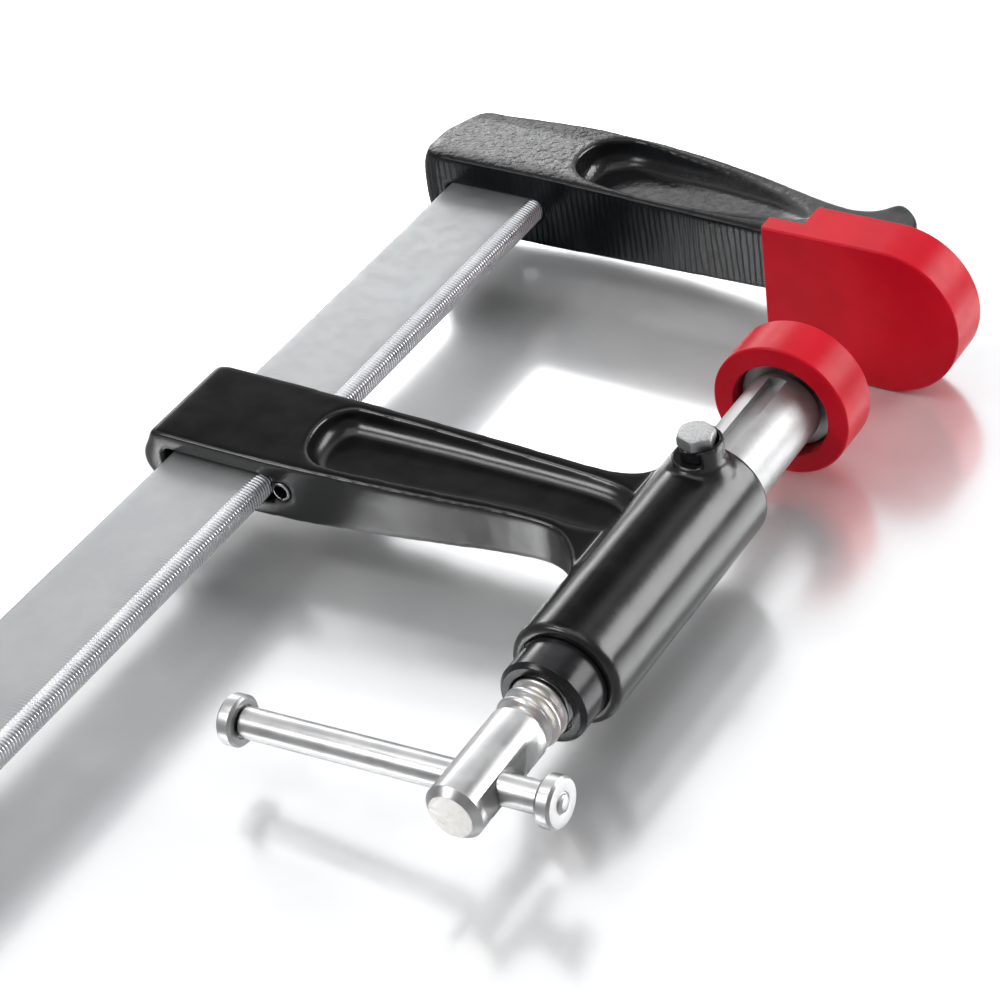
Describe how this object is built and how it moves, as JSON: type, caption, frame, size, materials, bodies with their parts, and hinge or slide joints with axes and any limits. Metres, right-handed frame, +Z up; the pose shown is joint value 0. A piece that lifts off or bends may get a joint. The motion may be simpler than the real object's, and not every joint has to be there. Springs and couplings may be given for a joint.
{
  "type": "f clamp",
  "caption": "Heavy-duty F clamp: flat serrated rail, fixed and sliding cast arms, tommy-bar spindle driving a keyed pusher, soft caps on both jaws.",
  "frame": {"origin": "bottom centre of the whole clamp as it lies on its side, under the middle of its bounding box", "axes": "+X runs along the arms from the rail to the spindle, +Y along the rail from its free end to the fixed jaw, +Z is up, square to the plane of the two arms"},
  "size_m": [0.2013, 0.4305, 0.0515],
  "materials": {
    "rail_zinc": "zinc plated, matt, fine transverse serrations on the edges",
    "cast_black": "black paint over rough casting",
    "cast_black_gloss": "smooth gloss black paint",
    "black_oxide": "black finished turned steel",
    "zinc_bright": "bright zinc plated turned steel",
    "steel_plain": "plain steel",
    "red_cap": "satin moulded red plastic"
  },
  "bodies": {
    "frame": {"rail": "rail_zinc", "fixed_arm": "cast_black", "fixed_arm_pin": "steel_plain", "fixed_jaw_cap": "red_cap", "rail_stop_pin": "steel_plain"},
    "sliding_arm": {"sliding_arm": "cast_black_gloss", "rail_grip_pin": "steel_plain", "spindle_bushing": "black_oxide", "guide_bolt": "zinc_bright", "guide_lock_nut": "black_oxide"},
    "pusher": {"pusher": "zinc_bright", "spindle_retaining_pins": "steel_plain", "thrust_ball": "steel_plain"},
    "pressure_plate": {"pressure_plate": "zinc_bright", "plate_retaining_ring": "steel_plain", "pusher_cap": "red_cap"},
    "spindle": {"spindle": "zinc_bright"},
    "tommy_bar": {"tommy_bar": "zinc_bright", "tommy_bar_cap_left": "zinc_bright", "tommy_bar_cap_right": "zinc_bright"}
  },
  "joints": [
    {"name": "arm_slide", "type": "slide", "parent": "frame", "child": "sliding_arm", "axis": [0, 1, 0], "range_m": [-0.222, 0.023]},
    {"name": "pusher_slide", "type": "slide", "parent": "sliding_arm", "child": "pusher", "axis": [0, 1, 0], "range_m": [-0.0365, 0.0105]},
    {"name": "plate_tilt", "type": "hinge", "parent": "pusher", "child": "pressure_plate", "pos_m": [0.06775, 0.11815, 0.025], "axis": [1, 0, 0], "range_deg": [-6, 6]},
    {"name": "spindle_turn", "type": "hinge", "parent": "pusher", "child": "spindle", "pos_m": [0.06775, 0.00065, 0.025], "axis": [0, 1, 0], "range_deg": [-3285, 945]},
    {"name": "tommy_bar_slide", "type": "slide", "parent": "spindle", "child": "tommy_bar", "axis": [0.9972, 0, 0.075], "range_m": [-0.0115, 0.065]}
  ],
  "couplings": [
    {"joint": "pusher_slide", "follows": "spindle_turn", "m_per_rad": 0.00063662}
  ]
}
